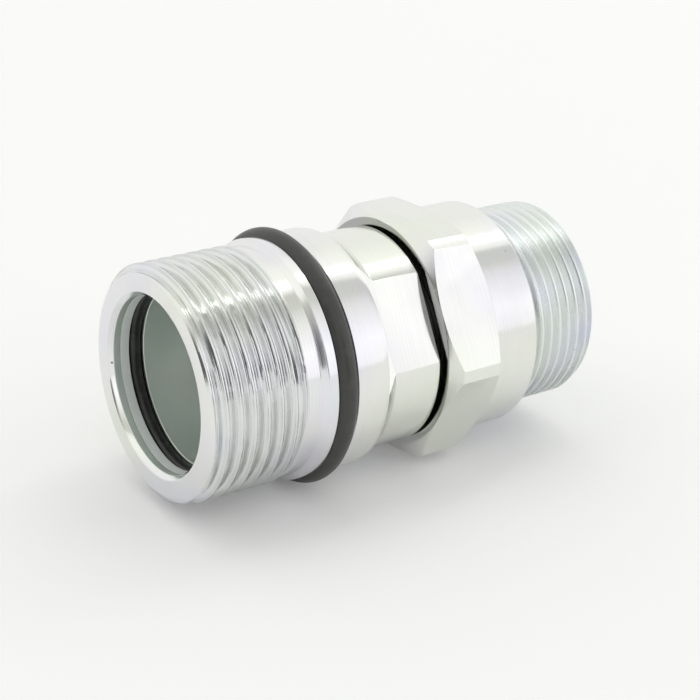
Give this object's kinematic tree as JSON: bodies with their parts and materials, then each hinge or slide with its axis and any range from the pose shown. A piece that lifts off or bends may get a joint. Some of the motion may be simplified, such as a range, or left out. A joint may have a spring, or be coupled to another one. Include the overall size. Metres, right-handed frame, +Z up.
{
  "type": "screw-to-connect fluid coupling half",
  "caption": "Round metal coupling half with a threaded socket, a sprung poppet valve, spanner flats and a male pipe thread at the back.",
  "frame": {"origin": "the middle of the coupling's length, on its axis, which is the centre of its bounding box", "axes": "+X along the axis from the socket's mouth towards the pipe thread; +Z up, square to the two level flats of the hexagon"},
  "size_m": [0.094, 0.054, 0.0522],
  "materials": {
    "plated_steel": "bright zinc plate, turned",
    "spring_steel": "drawn wire, satin",
    "rubber_grey": "smooth dark grey rubber",
    "rubber_black": "smooth black rubber",
    "backup_white": "waxy white plastic",
    "bush_bronze": "dull bearing bronze"
  },
  "bodies": {
    "coupling_body": {"front_body": "plated_steel", "rear_adapter": "plated_steel", "outer_seal_ring": "rubber_grey", "joint_ring": "rubber_black", "socket_backup_ring": "backup_white", "socket_o_ring": "rubber_black", "spigot_backup_ring": "backup_white", "spigot_o_ring": "rubber_black", "valve_spring": "spring_steel", "spring_seat_washer": "spring_steel", "valve_guide": "plated_steel", "guide_bush": "bush_bronze"},
    "valve": {"valve_poppet": "plated_steel", "poppet_o_ring": "rubber_black", "seal_clamp_washer": "plated_steel", "seal_clamp_nut": "plated_steel"}
  },
  "joints": [
    {"name": "valve_slide", "type": "slide", "parent": "coupling_body", "child": "valve", "axis": [1, 0, 0], "range_m": [0, 0.006], "stiffness_N_per_m": 2950, "springref_m": -0.01, "deforming": ["valve_spring"]}
  ]
}
